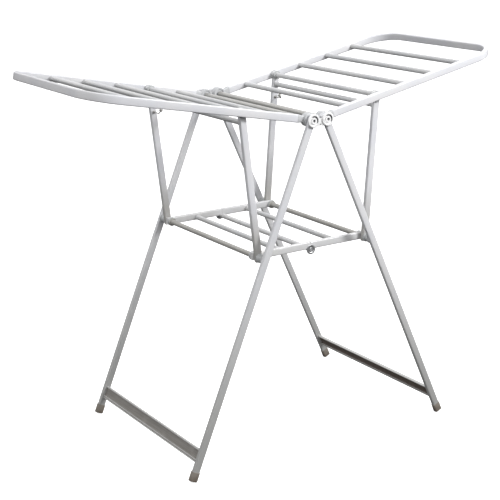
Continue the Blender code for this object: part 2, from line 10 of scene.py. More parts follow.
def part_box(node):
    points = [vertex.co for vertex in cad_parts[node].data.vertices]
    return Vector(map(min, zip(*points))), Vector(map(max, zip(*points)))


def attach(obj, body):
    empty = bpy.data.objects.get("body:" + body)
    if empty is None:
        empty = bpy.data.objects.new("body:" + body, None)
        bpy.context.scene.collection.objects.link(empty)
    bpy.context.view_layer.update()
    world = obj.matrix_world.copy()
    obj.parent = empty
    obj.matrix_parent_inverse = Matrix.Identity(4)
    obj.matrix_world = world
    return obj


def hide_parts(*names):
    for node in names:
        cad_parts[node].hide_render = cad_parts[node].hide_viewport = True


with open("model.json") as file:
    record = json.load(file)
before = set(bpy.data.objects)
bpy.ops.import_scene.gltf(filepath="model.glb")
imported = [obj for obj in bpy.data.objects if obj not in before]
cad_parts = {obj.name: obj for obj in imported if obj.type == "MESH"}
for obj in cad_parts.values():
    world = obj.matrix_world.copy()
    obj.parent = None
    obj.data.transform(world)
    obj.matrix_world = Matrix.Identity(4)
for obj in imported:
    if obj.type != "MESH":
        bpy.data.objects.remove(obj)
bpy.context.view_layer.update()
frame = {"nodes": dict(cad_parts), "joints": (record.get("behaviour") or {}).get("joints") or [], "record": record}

# The camera, in metres and radians. The lens and its film are in millimetres.
CAMERA_PLACE = Vector((-1.8972, -3.0008, 1.4997))
CAMERA_YAW = 0.5530
CAMERA_PITCH = 0.2759
CAMERA_ROLL = -0.0257
CAMERA_LENS = 93.97
CAMERA_FILM = 36
CAMERA_SIGHT = 300

# Sizes of the finished shapes, in metres. Places and lengths come from the frame.
TUBE_CORNER = 0.0032
TUBE_WALL = 0.0007
SHAFT_CLEARANCE = 0.0003
EASE = 0.0006
FINE_EASE = 0.0004
ROD_EASE = 0.0005
BAR_EASE = 0.0009
WINDOW_EASE = 0.001
CAP_EASE = 0.0014
GROOVE_INNER = 0.0085
GROOVE_OUTER = 0.0128
GROOVE_DEPTH = 0.0028
# The painted shadow in a cap's groove runs between these angles round the hinge axis.
CRESCENT_START = math.radians(-28)
CRESCENT_END = math.radians(112)
CAP_HOLE = 0.0037
CAP_HOLE_FLOOR = CAP_HOLE * 0.55
CAP_HOLE_DEPTH = 0.0024
CAP_THICK = 0.0036
WELD_RISE = 0.0009
WELD_LENGTH = 0.0022
SPOOL_GAP = 0.0007
SPOOL_THICK = 0.0025
BUSH_LENGTH = 0.006
COLLAR_LENGTH = 0.007
BAR_TOP_LIP = 0.0035
BAR_LOW_LIP = 0.0085
BAR_RECESS = 0.003
BAR_GROOVE = 0.0024
FOOT_LENGTH = 0.026
FOOT_WALL = 0.0012
FOOT_RIM = 0.0007
FOOT_RIM_INSET = 0.4 * FOOT_WALL
FOOT_SOLE = 0.003
GROUND_REACH = 0.05
SOCKET_NECK = 0.0175
SOCKET_REACH = 0.034
SOCKET_COLLAR = 0.0022
WING_CORNER = 0.085
KNUCKLE_THICK = 0.0022
SPIGOT = 0.005
SPIGOT_BORE = 0.0031
PIN = 0.004
PIN_PROUD = 0.0001
BOSS_STEP = 0.004
BOSS_SHOULDER = 0.0052
BOSS_WAIST = 0.86
HOOK_WIRE = 0.0017
HOOK_BALL = 0.005
HOOK_PLATE = 0.0048
HOOK_BEND = 0.006
HOOK_UPTURN = 1.27
WINDOW_TOP = 0.0070
WINDOW_BOTTOM = 0.0132
WINDOW_HALF_WIDTH = 0.0036
# How thick the black sheet of painted shade behind each link plate's window is.
WINDOW_SHADE_THICK = 0.0012

# Small profiles, in metres. The rolled sole of a foot: how far up it, and how far in from its side.
SOLE_ROLL = ((0.0, 1.4 * FOOT_WALL), (0.0006, FOOT_RIM_INSET), (0.0018, 0.1 * FOOT_WALL), (0.0036, 0.0))
# The crown of a strut's pin: its radius, and how far it stands off the strut.
PIN_CROWN = ((0.0018, 0.0012), (0.0055, 0.0010), (0.0064, 0.0))
# A hook's rivet plate, down to its wire: how far off the strut, and its radius.
HOOK_RIVET = (
    (0.0, HOOK_PLATE * 0.94),
    (0.0004, HOOK_PLATE),
    (0.0011, HOOK_PLATE),
    (0.0015, HOOK_PLATE * 0.9),
    (0.0017, HOOK_WIRE * 1.3),
    (0.0026, HOOK_WIRE),
)
# A knuckle plate's dish: how far in from its rim, and how far below its face.
KNUCKLE_DISH = ((0.0, 0.0004), (0.0016, 0.0), (0.0044, 0.0), (0.0056, 0.0009))
# The rivet in its middle: radius, and how far below the face.
KNUCKLE_RIVET = ((0.0048, 0.0009), (0.0040, 0.0), (0.0026, 0.0), (0.0022, 0.0016), (0.0006, 0.0016))

# Smoothness.
CORNER_STEPS = 5
EASE_STEPS = 3
SWELL_STEPS = 6
SAME_PLACE = 1e-7
SAME_FACE = 1e-4
ROD_SIDES = 48
ROUND_SIDES = 80
BEND_STEPS = 20
SHARP_ANGLE = math.radians(32)

# The studio: metres, and degrees above the floor for the rings of its dome.
STUDIO_REACH = 40.0
DOME_TIP = 0.001
DOME_LOW = -76
DOME_RISES = (*range(90, DOME_LOW, -14), DOME_LOW)
DOME_TURN = 10
FLOOR_GLOW = 0.72
DOME_GLOW = 1.0
# The room's light from straight below (0) to straight above (1), and how strong it is.
SKY = ((0.0, 0.03), (0.50, 0.06), (0.55, 0.16), (0.66, 1.0), (0.78, 0.80), (1.0, 0.24))
SKY_BLUE = 1.01
SKY_STRENGTH = 1.70

CORNERS = ((-1, -1), (1, -1), (1, 1), (-1, 1))
PROPPED_ROD = 2
SIDES = {"left": -1, "right": 1}
ENDS = {"near": -1, "far": 1}

JOINTS = {joint["name"]: joint for joint in frame["joints"]}
BODY_OF = {
    node: body for body, nodes in frame["record"]["behaviour"]["bodies"].items() for node in nodes
}


def joint_point(name):
    """A joint's axis as a point of the right half, in the X, Z plane."""
    place = JOINTS[name]["pos_m"]
    return Vector((abs(place[0]), place[2]))


def middle_of(node):
    """The centre of a node's box, as a point of the right half in the X, Z plane."""
    low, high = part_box(node)
    middle = (low + high) / 2
    return Vector((abs(middle.x), middle.z))


def span(node, origin, line):
    """How far a node reaches along a line of its half, from the origin: lowest and highest."""
    side = SIDES["left"] if "_left" in node else SIDES["right"]
    reaches = [
        (Vector((side * vertex.co.x, vertex.co.z)) - origin).dot(line)
        for vertex in frame["nodes"][node].data.vertices
    ]
    return min(reaches), max(reaches)


def plane_of(node):
    """The centre plane across Y, and the thickness there."""
    low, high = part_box(node)
    return (low.y + high.y) / 2, high.y - low.y


def half_width(node):
    low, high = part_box(node)
    return (high.x - low.x) / 2


def half_height(node):
    low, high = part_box(node)
    return (high.z - low.z) / 2


def across(line):
    return Vector((line.y, -line.x))


# Working lines of the right half. The left half mirrors them.
HINGE = joint_point("wing_right_fold")
PIVOT = joint_point("strut_right_fold")
MIDDLE = joint_point("shelf_middle_fold")
PROP = middle_of("wing_rod_right_2")
LEG_LINE = (PIVOT - HINGE).normalized()
WING_LINE = (middle_of("wing_rod_right_5") - HINGE).normalized()
STRUT_LINE = (PROP - PIVOT).normalized()
LEVEL = Vector((1, 0))
RAIL_ORIGIN = Vector((0, middle_of("shelf_rail_right_near").y))

# Sizes that several pieces share.
ROD_RADIUS = half_height("shelf_rod_right")
CAP_RADIUS = half_width("hinge_cap_right_near")
TUBE_THICK = plane_of("leg_right_near")[1]
WING_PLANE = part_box("wing_frame_right")[1].y - TUBE_THICK / 2
WING_HALF_DEEP = span("wing_frame_right", HINGE, -across(WING_LINE))[1]


# ---------------------------------------------------------------- materials


class Field:
    """One output of a node. Arithmetic on it adds the nodes for it."""

    def __init__(self, nodes, socket):
        self.nodes = nodes
        self.socket = socket

    def maths(self, operation, first, second):
        return self.nodes.node("ShaderNodeMath", {"operation": operation}, {0: first, 1: second})

    def __add__(self, other):
        return self.maths("ADD", self, other)

    __radd__ = __add__

    def __sub__(self, other):
        return self.maths("SUBTRACT", self, other)

    def __rsub__(self, other):
        return self.maths("SUBTRACT", other, self)

    def __mul__(self, other):
        return self.maths("MULTIPLY", self, other)

    __rmul__ = __mul__

    def smooth(self, low, high):
        """Rises smoothly from 0 to 1 as the field goes from low to high."""
        return self.nodes.node(
            "ShaderNodeMapRange",
            {"interpolation_type": "SMOOTHSTEP"},
            {"Value": self, "From Min": low, "From Max": high},
        )


class Nodes:
    """The node tree of a finish or of the room, built up node by node."""

    def __init__(self, tree):
        self.tree = tree

    def node(self, kind, settings=None, inputs=None, output=0):
        node = self.tree.nodes.new(kind)
        for setting, value in (settings or {}).items():
            if setting == "stops":
                self.set_stops(node.color_ramp.elements, value)
            else:
                setattr(node, setting, value)
        for name, value in (inputs or {}).items():
            if isinstance(value, Field):
                self.tree.links.new(value.socket, node.inputs[name])
            else:
                node.inputs[name].default_value = value
        return Field(self, node.outputs[output])

    def set_stops(self, ramp, stops):
        while len(ramp) < len(stops):
            ramp.new(0.5)
        for element, (position, colour) in zip(ramp, stops):
            element.position = position
            element.color = (*colour, 1)


class Finish(Nodes):
    """A procedural material round its Principled shader."""

    def __init__(self, name, roughness, metallic=0.0, specular=0.5, coat=0.0, coat_roughness=0.1):
        self.material = bpy.data.materials.new(name)
        self.material.use_nodes = True
        super().__init__(self.material.node_tree)
        self.shader = self.tree.nodes["Principled BSDF"]
        self.shader.inputs["Roughness"].default_value = roughness
        self.shader.inputs["Metallic"].default_value = metallic
        self.shader.inputs["Specular IOR Level"].default_value = specular
        self.shader.inputs["Coat Weight"].default_value = coat
        self.shader.inputs["Coat Roughness"].default_value = coat_roughness
        self.place = self.node("ShaderNodeTexCoord", output="Object")

    def feed(self, name, value):
        """Sends a field to one of the shader's sockets."""
        self.tree.links.new(value.socket, self.shader.inputs[name])

    def stretched(self, x, y, z):
        """The place on the piece, with each direction scaled."""
        return self.node(
            "ShaderNodeVectorMath",
            {"operation": "MULTIPLY"},
            {0: self.place, 1: (x, y, z)},
        )

    def noise(self, scale, detail, roughness=0.5, where=None):
        return self.node(
            "ShaderNodeTexNoise",
            {},
            {"Vector": where or self.place, "Scale": scale, "Detail": detail, "Roughness": roughness},
        )

    def cells(self, scale):
        return self.node(
            "ShaderNodeTexVoronoi", {}, {"Vector": self.place, "Scale": scale}, "Distance"
        )

    def height(self):
        """Metres above the floor at rest."""
        return self.node("ShaderNodeSeparateXYZ", {}, {0: self.place}, "Z")

    def mix(self, amount, first, second):
        """A colour between two colours."""
        return self.node(
            "ShaderNodeMix",
            {"data_type": "RGBA"},
            {
                "Factor": amount,
                6: first if isinstance(first, Field) else (*first, 1),
                7: second if isinstance(second, Field) else (*second, 1),
            },
            2,
        )

    def bump(self, height, distance, strength):
        return self.node(
            "ShaderNodeBump", {}, {"Height": height, "Distance": distance, "Strength": strength}
        )


def toned(colour, factor):
    """The same colour, darker or lighter."""
    return tuple(part * factor for part in colour)


# Painted shade: greys that the enamels darken to towards the floor, the second for the bars.
SHADE_GREY = (0.34, 0.34, 0.325)
BAR_SHADE_GREY = (0.48, 0.48, 0.465)
SCUFF_GREY = (0.34, 0.33, 0.32)
# Painted shade: the brown-grey of the struts' darker lower ends.
STRUT_LOW_SHADE = (0.46, 0.45, 0.43)


def enamel(name, colour, roughness=0.36, lower_shade=None, peel=0.00005, low_shade_colour=SHADE_GREY):
    """Baked enamel on steel: orange peel, dust nibs and clouding, scuffs near the floor and painted shade
    darkening it towards the floor; lower_shade adds a mottled band of painted shade lower down.
    """
    finish = Finish(name, roughness, specular=0.45, coat=0.25, coat_roughness=0.18)
    clouds = finish.noise(9.0, 3.0)
    patches = finish.noise(46.0, 4.0, 0.6)
    nibs = finish.cells(420.0).smooth(0.10, 0.03)
    rare = finish.noise(120.0, 1.0).smooth(0.62, 0.70)
    scratched = finish.noise(1.0, 3.0, 0.6, finish.stretched(900.0, 900.0, 60.0)).smooth(0.66, 0.72)
    low_down = finish.height().smooth(0.30, 0.03)
    scuffs = scratched * low_down * patches.smooth(0.45, 0.60)
    cooler = toned(colour, 0.955)
    warmer = (colour[0] * 1.02, colour[1] * 1.01, colour[2] * 0.985)
    base = finish.mix(clouds.smooth(0.35, 0.65), cooler, warmer)
    base = finish.mix(patches.smooth(0.58, 0.80) * 0.25, base, toned(colour, 0.90))
    # Painted shade, mottled: darker below the top height, fully so at the bottom height.
    if lower_shade:
        shade_colour, top, bottom = lower_shade
        base = finish.mix(finish.height().smooth(top, bottom) * (0.75 + patches * 0.5), base, shade_colour)
    # Painted shade: darker towards the floor, for light that falls off lower down.
    base = finish.mix(finish.height().smooth(0.72, 0.0) * 0.9, base, low_shade_colour)
    base = finish.mix(scuffs * 0.55, base, SCUFF_GREY)
    finish.feed("Base Color", base)
    finish.feed("Roughness", roughness - 0.05 + patches * 0.10 + scuffs * 0.2)
    skin_height = finish.noise(520.0, 2.0) + nibs * rare * 1.6 - scuffs * 0.8
    finish.feed("Normal", finish.bump(skin_height, peel, 0.6))
    return finish.material


def channel_enamel(name, colour):
    """The recessed channel of a bottom bar: darker than the bar, with drawn marks along the bar."""
    finish = Finish(name, 0.5, specular=0.35)
    drawn = finish.noise(1.0, 4.0, 0.65, finish.stretched(700.0, 9.0, 700.0))
    clouds = finish.noise(22.0, 3.0)
    base = finish.mix(drawn.smooth(0.35, 0.68), toned(colour, 0.72), colour)
    base = finish.mix(clouds.smooth(0.50, 0.75) * 0.4, base, toned(colour, 1.25))
    finish.feed("Base Color", base)
    finish.feed("Roughness", 0.42 + drawn * 0.2)
    finish.feed("Normal", finish.bump(drawn, 0.0001, 0.5))
    return finish.material


def moulded(name, colour, roughness):
    """Moulded plastic: fine spark texture, slight sink clouds and rubbed high spots."""
    finish = Finish(name, roughness)
    clouds = finish.noise(38.0, 3.0)
    grain = finish.noise(1500.0, 2.0)
    rubbed = finish.noise(160.0, 4.0, 0.6).smooth(0.56, 0.70)
    base = finish.mix(clouds.smooth(0.3, 0.7), colour, toned(colour, 0.94))
    base = finish.mix(rubbed * 0.25, base, toned(colour, 0.82))
    finish.feed("Base Color", base)
    finish.feed("Roughness", roughness + grain * 0.08 - rubbed * 0.08)
    finish.feed("Normal", finish.bump(grain + clouds * 2.0, 0.00003, 0.6))
    return finish.material


def foot_rubber():
    """Brown rubber sleeve: mould bloom, gritty wear that thickens towards the floor."""
    finish = Finish("foot_rubber", 0.62, specular=0.35)
    brown = (0.25, 0.225, 0.195)
    worn_brown = (0.15, 0.122, 0.098)
    bloom_brown = (0.30, 0.275, 0.24)
    grit_brown = (0.10, 0.08, 0.07)
    grit = finish.noise(900.0, 3.0, 0.6)
    bloom = finish.noise(90.0, 3.0)
    worn = finish.height().smooth(0.026, 0.002)
    base = finish.mix(worn, brown, worn_brown)
    base = finish.mix(bloom.smooth(0.45, 0.72) * 0.45, base, bloom_brown)
    base = finish.mix(grit.smooth(0.58, 0.72) * worn * 0.6, base, grit_brown)
    finish.feed("Base Color", base)
    finish.feed("Roughness", 0.5 + grit * 0.25)
    finish.feed("Normal", finish.bump(grit + bloom * 2.0, 0.00008, 0.7))
    return finish.material


ALONG_Y = (1400.0, 40.0, 1400.0)
ALL_ROUND = (900.0, 900.0, 900.0)


def drawn_steel(name, colour, roughness, metallic, marks=ALONG_Y):
    """Plated steel with fine marks and a few dull blooms."""
    finish = Finish(name, roughness, metallic=metallic)
    drawn = finish.noise(1.0, 5.0, 0.6, finish.stretched(*marks))
    bloom = finish.noise(70.0, 3.0)
    base = finish.mix(drawn.smooth(0.3, 0.7), colour, toned(colour, 0.84))
    base = finish.mix(bloom.smooth(0.55, 0.75) * 0.35, base, toned(colour, 0.70))
    finish.feed("Base Color", base)
    finish.feed("Roughness", roughness - 0.06 + drawn * 0.14 + bloom * 0.10)
    finish.feed("Normal", finish.bump(drawn, 0.00003, 0.5))
    return finish.material


LEG_ENAMEL = enamel("leg_enamel", (0.715, 0.722, 0.750))
WING_ENAMEL = enamel("wing_enamel", (0.74, 0.745, 0.775), roughness=0.32)
STRUT_ENAMEL = enamel("strut_enamel", (0.73, 0.737, 0.77), lower_shade=(STRUT_LOW_SHADE, 0.74, 0.56))
ROD_ENAMEL = enamel("rod_enamel", (0.60, 0.608, 0.62), roughness=0.30, peel=0.00003)
SHELF_ENAMEL = enamel("shelf_enamel", (0.71, 0.712, 0.722))
BAR_ENAMEL = enamel("bar_enamel", (0.64, 0.64, 0.635), low_shade_colour=BAR_SHADE_GREY)
BAR_CHANNEL = channel_enamel("bar_channel", (0.27, 0.255, 0.235))
# Painted shade: a much darker copy of the channel, for the bars' inner channels and their grooves.
BAR_PAINTED_SHADE = channel_enamel("bar_shade_paint", (0.140, 0.116, 0.098))
CAP_WHITE = moulded("cap_white", (0.90, 0.90, 0.90), 0.30)
# Painted shade: the sockets' white plastic made grey, for the shade they sit in between caps and rails.
SOCKET_WHITE_IN_SHADE = moulded("socket_shade_white", (0.57, 0.58, 0.59), 0.36)
SEAT_GREY = moulded("seat_grey", (0.46, 0.475, 0.475), 0.38)
# Painted shadow for the hole and a crescent of the groove in each hinge cap.
CAP_PAINTED_SHADOW = moulded("cap_shadow_paint", (0.13, 0.13, 0.135), 0.45)
# Painted shade: the black of the sheet behind each link plate's window.
WINDOW_PAINTED_SHADE = moulded("window_shade_paint", (0.06, 0.06, 0.06), 0.55)
FOOT_RUBBER = foot_rubber()
HINGE_STEEL = drawn_steel("hinge_steel", (0.54, 0.535, 0.51), 0.36, 0.25)
END_ROD_STEEL = drawn_steel("end_rod_steel", (0.46, 0.45, 0.42), 0.38, 0.2)
PIN_STEEL = drawn_steel("pin_steel", (0.52, 0.51, 0.49), 0.36, 0.6)
KNUCKLE_STEEL = drawn_steel("knuckle_steel", (0.66, 0.67, 0.68), 0.26, 0.85, ALL_ROUND)


# ---------------------------------------------------------------- mesh work


def skin(name, loops, wrap):
    """One closed surface over equal loops: wrapped round to the first, or closed at both ends."""
    shape = bmesh.new()
    rings = [[shape.verts.new(point) for point in loop] for loop in loops]
    pairs = list(zip(rings, rings[1:]))
    if wrap:
        pairs.append((rings[-1], rings[0]))
    else:
        shape.faces.new(rings[0])
        shape.faces.new(rings[-1])
    for first, second in pairs:
        count = len(first)
        for i in range(count):
            j = (i + 1) % count
            shape.faces.new((first[i], first[j], second[j], second[i]))
    bmesh.ops.recalc_face_normals(shape, faces=shape.faces)
    mesh = bpy.data.meshes.new(name)
    shape.to_mesh(mesh)
    shape.free()
    obj = bpy.data.objects.new(name, mesh)
    bpy.context.scene.collection.objects.link(obj)
    return obj


def smooth(obj):
    """Smooth shading, kept crisp where faces meet at more than the sharp angle."""
    for polygon in obj.data.polygons:
        polygon.use_smooth = True
    obj.data.set_sharp_from_angle(angle=SHARP_ANGLE)


def joined(obj, other, operation="UNION"):
    """Joins another mesh on, or cuts it away. The other mesh is then removed."""
    modifier = obj.modifiers.new("join", "BOOLEAN")
    modifier.operation = operation
    modifier.solver = "EXACT"
    modifier.object = other
    graph = bpy.context.evaluated_depsgraph_get()
    result = bpy.data.meshes.new_from_object(obj.evaluated_get(graph))
    obj.modifiers.clear()
    result.name = obj.data.name
    obj.data = result
    bpy.data.objects.remove(other, do_unlink=True)


def finished(obj, node, *materials):
    """Makes a shape the finished piece for a node: it rides on its body and takes its material slot."""
    obj.data.materials.clear()
    for material in materials:
        obj.data.materials.append(material)
    smooth(obj)
    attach(obj, BODY_OF[node])
    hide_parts(node)


def rounded(width, height, corner=TUBE_CORNER):
    """The outline of a tube with round corners."""
    points = []
    for quarter in range(4):
        middle_u = (width / 2 - corner) * (1 if quarter in (0, 3) else -1)
        middle_v = (height / 2 - corner) * (1 if quarter in (0, 1) else -1)
        for i in range(CORNER_STEPS + 1):
            angle = math.pi / 2 * (quarter + i / CORNER_STEPS)
            points.append((middle_u + corner * math.cos(angle), middle_v + corner * math.sin(angle)))
    return points


def eased(points, size, closed=False):
    """An outline with each of its corners turned into a small round, at most a third of its sides."""
    count = len(points)
    result = []
    for i, point in enumerate(points):
        if not closed and i in (0, count - 1):
            result.append(tuple(point))
            continue
        here = Vector(point)
        before = Vector(points[i - 1]) - here
        after = Vector(points[(i + 1) % count]) - here
        if min(before.length, after.length) < SAME_PLACE:
            result.append(tuple(point))
            continue
        cut = min(size, before.length / 3, after.length / 3)
        start = here + before.normalized() * cut
        finish = here + after.normalized() * cut
        for step in range(EASE_STEPS + 1):
            t = step / EASE_STEPS
            curve = start * (1 - t) ** 2 + here * 2 * t * (1 - t) + finish * t ** 2
            result.append((curve.x, curve.y))
    return result


def at(side, point, y):
    """Where a point of the right half is, on either side of the rack."""
    return Vector((side * point.x, y, point.y))


def loop_across(side, point, line, y, outline):
    """An outline set square to a line."""
    wide = across(line)
    return [at(side, point + wide * u, y + v) for u, v in outline]


def loop_along(side, point, line, y, outline):
    """An outline laid along a line, facing Y."""
    wide = across(line)
    return [at(side, point + wide * u + line * v, y) for u, v in outline]


def circle(x, z, radius, y, count):
    turns = [2 * math.pi * i / count for i in range(count)]
    return [Vector((x + radius * math.cos(a), y, z + radius * math.sin(a))) for a in turns]


def turned(name, x, z, profile, count, end=1, wrap=False, ease=EASE):
    """A turned shape on the axis along Y through x, z, with its profile's corners eased."""
    profile = eased(profile, ease, closed=wrap)
    return skin(name, [circle(x, z, radius, end * y, count) for radius, y in profile], wrap)


def mirrored(half_profile):
    return [(radius, -y) for radius, y in reversed(half_profile)] + half_profile


def inset(outline, amount):
    """An outline pulled in by the same amount along both of its axes."""
    return [(u - math.copysign(amount, u), v - math.copysign(amount, v)) for u, v in outline]


def capped_tube(name, side, start, finish, line, y, width, thick):
    """A tube with softly pressed-in ends."""
    outer = rounded(width, thick)
    ring = inset(outer, EASE)
    mouth = inset(outer, EASE + TUBE_WALL)
    loops = [
        loop_across(side, start + line * 2 * EASE, line, y, mouth),
        loop_across(side, start, line, y, ring),
        loop_across(side, start + line * EASE, line, y, outer),
        loop_across(side, finish - line * EASE, line, y, outer),
        loop_across(side, finish, line, y, ring),
        loop_across(side, finish - line * 2 * EASE, line, y, mouth),
    ]
    return skin(name, loops, False)


def tube_for(node, side, line, origin, material):
    """The finished tube for a straight CAD tube."""
    y, thick = plane_of(node)
    start, finish = span(node, origin, line)
    low, high = span(node, origin, across(line))
    ends = (origin + line * start, origin + line * finish)
    tube = capped_tube(f"painted_{node}", side, *ends, line, y, high - low, thick)
    finished(tube, node, material)


# ---------------------------------------------------------------- pieces


def hinge_tube(side_name, side):
    node = f"hinge_tube_{side_name}"
    radius = half_width(node)
    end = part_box(node)[1].y
    half = [(radius, end), (radius - TUBE_WALL, end)]
    tube = turned(f"drawn_{node}", side * HINGE.x, HINGE.y, mirrored(half), ROD_SIDES, wrap=True)
    finished(tube, node, HINGE_STEEL)


def paint_faces(obj, slot, chosen):
    """Gives the chosen faces another of the piece's materials."""
    for polygon in obj.data.polygons:
        if chosen(polygon):
            polygon.material_index = slot


def ring_distance(point, side):
    """How far a point is from the hinge axis of its side."""
    return math.hypot(point.x - side * HINGE.x, point.z - HINGE.y)


def hinge_cap(side_name, side, end_name, end):
    """The round cap over a hinge tube's end, with its ring groove and its hole; the hole and a crescent of the
    groove are painted shadow.
    """
    node = f"hinge_cap_{side_name}_{end_name}"
    low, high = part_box(node)
    radius = half_width(node)
    face = max(abs(low.y), abs(high.y))
    inside = face - CAP_THICK
    profile = [
        (CAP_HOLE_FLOOR, face - CAP_HOLE_DEPTH),
        (CAP_HOLE, face - CAP_HOLE_DEPTH),
        (CAP_HOLE, face),
        (GROOVE_INNER, face),
        (GROOVE_INNER, face - GROOVE_DEPTH),
        (GROOVE_OUTER, face - GROOVE_DEPTH),
        (GROOVE_OUTER, face),
        (radius - CAP_EASE, face),
        (radius, face - CAP_EASE),
        (radius, inside),
        (GROOVE_INNER, inside),
    ]
    cap = turned(f"moulded_{node}", side * HINGE.x, HINGE.y, profile, ROUND_SIDES, end, ease=FINE_EASE)
    finished(cap, node, CAP_WHITE, CAP_PAINTED_SHADOW)

    # Painted shadow: the hole, and a crescent of the groove between the crescent angles.
    def sunk(polygon):
        away = ring_distance(polygon.center, side)
        if not inside < abs(polygon.center.y) < face - GROOVE_DEPTH / 3:
            return False
        turn = math.atan2(polygon.center.z - HINGE.y, polygon.center.x - side * HINGE.x)
        in_groove = GROOVE_INNER * 1.02 < away < GROOVE_OUTER * 1.01
        return away < CAP_HOLE * 1.02 or (in_groove and CRESCENT_START < turn < CRESCENT_END)

    paint_faces(cap, 1, sunk)


def link_plate(end_name, end):
    """The plate keeps its shape from the frame. A black sheet behind its window is painted shade, for the shade
    seen through it.
    """
    node = f"link_plate_{end_name}"
    obj = frame["nodes"][node]
    obj.data.materials.clear()
    obj.data.materials.append(CAP_WHITE)
    low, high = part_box(node)
    inside = min(abs(low.y), abs(high.y))
    corners = [
        (0, -WINDOW_TOP),
        (-WINDOW_HALF_WIDTH, -WINDOW_BOTTOM),
        (WINDOW_HALF_WIDTH, -WINDOW_BOTTOM),
    ]
    # Painted shade: a black sheet behind the window, for the shade seen through it.
    loops = [
        [Vector((x, end * y, HINGE.y + z)) for x, z in eased(corners, WINDOW_EASE, closed=True)]
        for y in (inside - WINDOW_SHADE_THICK, inside)
    ]
    pad = skin(f"window_shade_sheet_{end_name}", loops, False)
    pad.data.materials.append(WINDOW_PAINTED_SHADE)
    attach(pad, BODY_OF[node])


def leg(side_name, side, end_name):
    tube_for(f"leg_{side_name}_{end_name}", side, LEG_LINE, HINGE, LEG_ENAMEL)


def foot(side_name, side, end_name):
    """The rubber sleeve, with a rolled rim and the corner that it stands on worn flat."""
    node = f"foot_{side_name}_{end_name}"
    y, thick = plane_of(node)
    finish = span(node, HINGE, LEG_LINE)[1]
    half = span(node, HINGE, -across(LEG_LINE))[1]
    outer = rounded(2 * half, thick, TUBE_CORNER + FOOT_WALL)
    inner = inset(outer, FOOT_WALL)
    rim = inset(outer, FOOT_RIM_INSET)
    bottom = HINGE + LEG_LINE * finish
    top = bottom - LEG_LINE * FOOT_LENGTH
    stations = [(bottom - LEG_LINE * rise, inset(outer, pull)) for rise, pull in SOLE_ROLL]
    stations += [
        (top + LEG_LINE * FOOT_RIM, outer),
        (top, rim),
        (top, inner),
        (bottom - LEG_LINE * FOOT_SOLE, inner),
    ]
    loops = [loop_across(side, point, LEG_LINE, y, outline) for point, outline in stations]
    sleeve = skin(f"rubber_{node}", loops, False)
    square = [(u * GROUND_REACH, v * GROUND_REACH) for u, v in CORNERS]
    ground = [
        [Vector((side * bottom.x + u, y + v, z)) for u, v in square] for z in (-GROUND_REACH, 0)
    ]
    joined(sleeve, skin("ground", ground, False), "DIFFERENCE")
    finished(sleeve, node, FOOT_RUBBER)


def bottom_bar(side_name, side):
    """The bar with its recessed channel on both faces; the inner channel and the groove are painted shade."""
    node = f"bottom_bar_{side_name}"
    start, finish = span(node, HINGE, LEG_LINE)
    half_thick = span(node, HINGE, across(LEG_LINE))[1]
    low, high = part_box(node)
    middle = HINGE + LEG_LINE * (start + finish) / 2
    half_deep = (finish - start) / 2
    web = half_thick - BAR_RECESS
    recess_top = -half_deep + BAR_TOP_LIP
    recess_low = half_deep - BAR_LOW_LIP
    groove_at = half_deep - BAR_LOW_LIP / 2
    half_groove = BAR_GROOVE / 2
    slope = BAR_RECESS / 3
    one_face = [
        (half_thick, -half_deep),
        (half_thick, recess_top),
        (web, recess_top + slope),
        (web, recess_low - slope),
        (half_thick, recess_low),
        (half_thick, groove_at - half_groove),
        (half_thick - half_groove, groove_at),
        (half_thick, groove_at + half_groove),
        (half_thick, half_deep),
    ]
    outline = eased(one_face + [(-u, v) for u, v in reversed(one_face)], BAR_EASE, closed=True)
    faces = [loop_along(side, middle, LEG_LINE, y, outline) for y in (low.y, high.y)]
    bar = skin(f"rolled_{node}", faces, False)
    finished(bar, node, BAR_ENAMEL, BAR_CHANNEL, BAR_PAINTED_SHADE)
    # Painted shade: the groove, and the channel on the inner face.
    for polygon in bar.data.polygons:
        place = Vector((side * polygon.center.x, polygon.center.z)) - middle
        along = place.dot(LEG_LINE)
        outwards = -place.dot(across(LEG_LINE))
        sunk = abs(outwards) < half_thick - BAR_GROOVE / 8
        if sunk and abs(along - groove_at) < BAR_GROOVE:
            polygon.material_index = 2
        elif sunk and recess_top < along < recess_low:
            polygon.material_index = 1 if outwards > 0 else 2


def strut_pivot(side_name, side, end_name, end):
    """The shouldered pin: level with the leg's outside, with a waisted boss between leg and strut."""
    node = f"strut_pivot_{side_name}_{end_name}"
    leg_y, leg_thick = plane_of(f"leg_{side_name}_{end_name}")
    strut_y, strut_thick = plane_of(f"strut_{side_name}_{end_name}")
    boss = half_width(node)
    leg_in = abs(leg_y) - leg_thick / 2 - SHAFT_CLEARANCE
    leg_out = abs(leg_y) + leg_thick / 2 + PIN_PROUD
    strut_in = abs(strut_y) - strut_thick / 2 - SHAFT_CLEARANCE
    strut_out = abs(strut_y) + strut_thick / 2 + SHAFT_CLEARANCE
    waist = boss * BOSS_WAIST
    profile = [(radius, strut_in - rise) for radius, rise in PIN_CROWN]
    profile += [
        (PIN, strut_in),
        (PIN, strut_out),
        (boss, strut_out),
        (boss, strut_out + BOSS_STEP),
        (waist, strut_out + BOSS_SHOULDER),
        (waist, leg_in - BOSS_SHOULDER),
        (boss, leg_in - BOSS_STEP),
        (boss, leg_in),
        (PIN, leg_in),
        (PIN, leg_out),
    ]
    pin = turned(f"turned_{node}", side * PIVOT.x, PIVOT.y, profile, ROD_SIDES, end, ease=FINE_EASE)
    finished(pin, node, LEG_ENAMEL, SEAT_GREY)
    paint_faces(pin, 1, lambda polygon: strut_out < abs(polygon.center.y) < leg_in)


